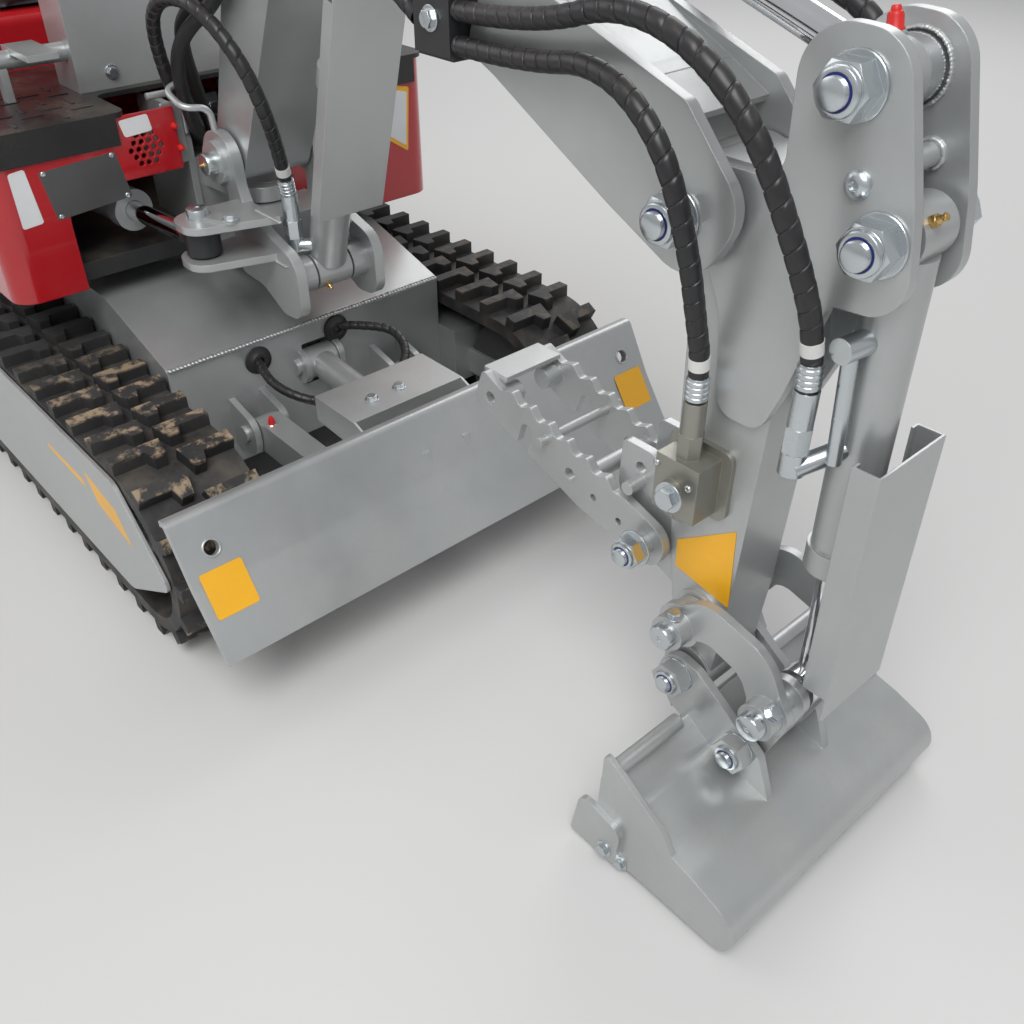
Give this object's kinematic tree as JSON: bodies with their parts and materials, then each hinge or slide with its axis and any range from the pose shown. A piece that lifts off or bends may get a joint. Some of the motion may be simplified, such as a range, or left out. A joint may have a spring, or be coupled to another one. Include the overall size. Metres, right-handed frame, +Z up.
{
  "type": "mini excavator",
  "caption": "Small tracked excavator: rubber tracks, front blade, turning house with seat and two-post canopy, swing boom, arm, bucket and thumb on hydraulic cylinders.",
  "frame": {"origin": "on the ground, on the axis that the house turns about", "axes": "+X forward, +Y to the machine's left, +Z up"},
  "size_m": [2.3156, 0.942, 2.186],
  "materials": {
    "silver_paint": "silver metallic gloss paint",
    "red_paint": "gloss red paint",
    "dark_paint": "satin black paint",
    "rubber": "matt black rubber",
    "cast": "dark painted casting",
    "chrome": "polished chrome",
    "zinc": "zinc-plated steel",
    "vinyl": "black grained vinyl",
    "hose": "black hose in spiral wrap",
    "plastic": "black plastic"
  },
  "bodies": {
    "undercarriage": {"car_body": "silver_paint", "track_frame_right": "silver_paint", "track_frame_left": "silver_paint", "track_right": "rubber", "track_left": "rubber", "sprockets": "cast", "track_wheels": "cast", "travel_motors": "cast", "slew_ring": "cast"},
    "blade_body": {"blade": "silver_paint", "blade_arms": "silver_paint", "blade_cover": "silver_paint"},
    "blade_barrel_body": {"blade_barrel": "silver_paint", "hoses_blade": "hose"},
    "blade_rod_body": {"blade_rod": "chrome"},
    "house": {"house_frame": "dark_paint", "kingpin_lugs": "silver_paint", "valve_block": "cast", "hoses_house": "hose", "floor_plate": "dark_paint", "front_cover_right": "red_paint", "front_cover_left": "red_paint", "engine_hood": "red_paint", "engine_block": "cast", "counterweight": "dark_paint", "front_panel": "silver_paint", "lever_shaft": "silver_paint", "control_levers": "plastic", "seat": "vinyl", "canopy_frame": "dark_paint", "canopy_roof": "red_paint"},
    "swing_body": {"swing_bracket": "silver_paint", "hoses_riser": "hose"},
    "swing_barrel_body": {"swing_barrel": "silver_paint"},
    "swing_rod_body": {"swing_rod": "chrome"},
    "boom_body": {"boom": "silver_paint", "hose_clamps": "dark_paint", "hoses_boom": "hose", "hoses_arm": "hose"},
    "boom_barrel_body": {"boom_barrel": "silver_paint", "boom_ports": "zinc", "hoses_boom_cylinder": "hose"},
    "boom_rod_body": {"boom_rod": "chrome", "boom_guard": "silver_paint"},
    "arm_barrel_body": {"arm_barrel": "silver_paint"},
    "arm_rod_body": {"arm_rod": "chrome"},
    "arm_body": {"arm": "silver_paint", "port_block": "zinc"},
    "bucket_barrel_body": {"bucket_barrel": "silver_paint", "bucket_ports": "zinc"},
    "bucket_rod_body": {"bucket_rod": "chrome", "bucket_guard": "silver_paint"},
    "rocker_body": {"rocker": "silver_paint"},
    "link_body": {"bucket_link": "silver_paint"},
    "bucket_body": {"bucket": "silver_paint"},
    "thumb_body": {"thumb": "silver_paint"}
  },
  "joints": [
    {"name": "blade_lift", "type": "hinge", "parent": "undercarriage", "child": "blade_body", "pos_m": [0.474, 0, 0.2], "axis": [0, -1, 0], "range_deg": [-30, 4]},
    {"name": "blade_barrel_pivot", "type": "hinge", "parent": "undercarriage", "child": "blade_barrel_body", "pos_m": [0.43, 0, 0.262], "axis": [0, -1, 0], "range_deg": [-25.62, 4.28], "deforming": ["hoses_blade"]},
    {"name": "blade_rod_slide", "type": "slide", "parent": "blade_barrel_body", "child": "blade_rod_body", "axis": [0.9965, 0, -0.083], "range_m": [-0.0074, 0.0292]},
    {"name": "house_slew", "type": "hinge", "parent": "undercarriage", "child": "house", "pos_m": [0, 0, 0.44], "axis": [0, 0, 1], "continuous": true},
    {"name": "boom_swing", "type": "hinge", "parent": "house", "child": "swing_body", "pos_m": [0.325, 0, 0.5], "axis": [0, 0, 1], "range_deg": [-48, 52], "deforming": ["hoses_house"]},
    {"name": "swing_barrel_pivot", "type": "hinge", "parent": "house", "child": "swing_barrel_body", "pos_m": [-0.185, -0.24, 0.532], "axis": [0, 0, 1], "range_deg": [-6.62, 7.09]},
    {"name": "swing_rod_slide", "type": "slide", "parent": "swing_barrel_body", "child": "swing_rod_body", "axis": [0.9933, 0.1159, 0], "range_m": [-0.1442, 0.1559]},
    {"name": "boom_lift", "type": "hinge", "parent": "swing_body", "child": "boom_body", "pos_m": [0.34, 0, 0.62], "axis": [0, -1, 0], "range_deg": [-18, 28], "deforming": ["hoses_riser"]},
    {"name": "boom_barrel_pivot", "type": "hinge", "parent": "swing_body", "child": "boom_barrel_body", "pos_m": [0.5, 0, 0.465], "axis": [0, -1, 0], "range_deg": [-15.17, 23.04], "deforming": ["hoses_boom_cylinder"]},
    {"name": "boom_rod_slide", "type": "slide", "parent": "boom_barrel_body", "child": "boom_rod_body", "axis": [0.3007, 0, 0.9537], "range_m": [-0.0639, 0.0972]},
    {"name": "arm_crowd", "type": "hinge", "parent": "boom_body", "child": "arm_body", "pos_m": [1.29, 0, 0.792], "axis": [0, 1, 0], "range_deg": [-50, 30], "deforming": ["hoses_arm"]},
    {"name": "arm_barrel_pivot", "type": "hinge", "parent": "boom_body", "child": "arm_barrel_body", "pos_m": [0.805, 0, 1.145], "axis": [0, -1, 0], "range_deg": [-4.17, 6.28]},
    {"name": "arm_rod_slide", "type": "slide", "parent": "arm_barrel_body", "child": "arm_rod_body", "axis": [0.9506, 0, -0.3104], "range_m": [-0.1702, 0.1037]},
    {"name": "bucket_curl", "type": "hinge", "parent": "arm_body", "child": "bucket_body", "pos_m": [1.36, 0, 0.205], "axis": [0, 1, 0], "range_deg": [-75, 50]},
    {"name": "rocker_pivot", "type": "hinge", "parent": "arm_body", "child": "rocker_body", "pos_m": [1.363, 0, 0.303], "axis": [0, -1, 0], "range_deg": [-42.32, 62.98]},
    {"name": "link_pivot", "type": "hinge", "parent": "rocker_body", "child": "link_body", "pos_m": [1.502, 0, 0.261], "axis": [0, -1, 0], "range_deg": [-51.85, 34.9]},
    {"name": "bucket_barrel_pivot", "type": "hinge", "parent": "arm_body", "child": "bucket_barrel_body", "pos_m": [1.491, 0, 0.817], "axis": [0, -1, 0], "range_deg": [-2.42, 3.13]},
    {"name": "bucket_rod_slide", "type": "slide", "parent": "bucket_barrel_body", "child": "bucket_rod_body", "axis": [0.0198, 0, -0.9998], "range_m": [-0.144, 0.097]},
    {"name": "thumb_fold", "type": "hinge", "parent": "arm_body", "child": "thumb_body", "pos_m": [1.28, 0, 0.372], "axis": [0, 1, 0], "range_deg": [-70, 5]}
  ],
  "couplings": [
    {"joint": "blade_barrel_pivot", "follows": "blade_lift", "ratio": 0.82074},
    {"joint": "blade_rod_slide", "follows": "blade_lift", "m_per_rad": -0.04813},
    {"joint": "swing_barrel_pivot", "follows": "boom_swing", "ratio": 0.11712},
    {"joint": "swing_rod_slide", "follows": "boom_swing", "m_per_rad": 0.16732},
    {"joint": "boom_barrel_pivot", "follows": "boom_lift", "ratio": 0.7872},
    {"joint": "boom_rod_slide", "follows": "boom_lift", "m_per_rad": 0.19073},
    {"joint": "arm_barrel_pivot", "follows": "arm_crowd", "ratio": -0.10563},
    {"joint": "arm_rod_slide", "follows": "arm_crowd", "m_per_rad": 0.1904},
    {"joint": "rocker_pivot", "follows": "bucket_curl", "ratio": -0.82641},
    {"joint": "link_pivot", "follows": "bucket_curl", "ratio": 0.67807},
    {"joint": "bucket_barrel_pivot", "follows": "bucket_curl", "ratio": -0.02837},
    {"joint": "bucket_rod_slide", "follows": "bucket_curl", "m_per_rad": 0.10667}
  ]
}
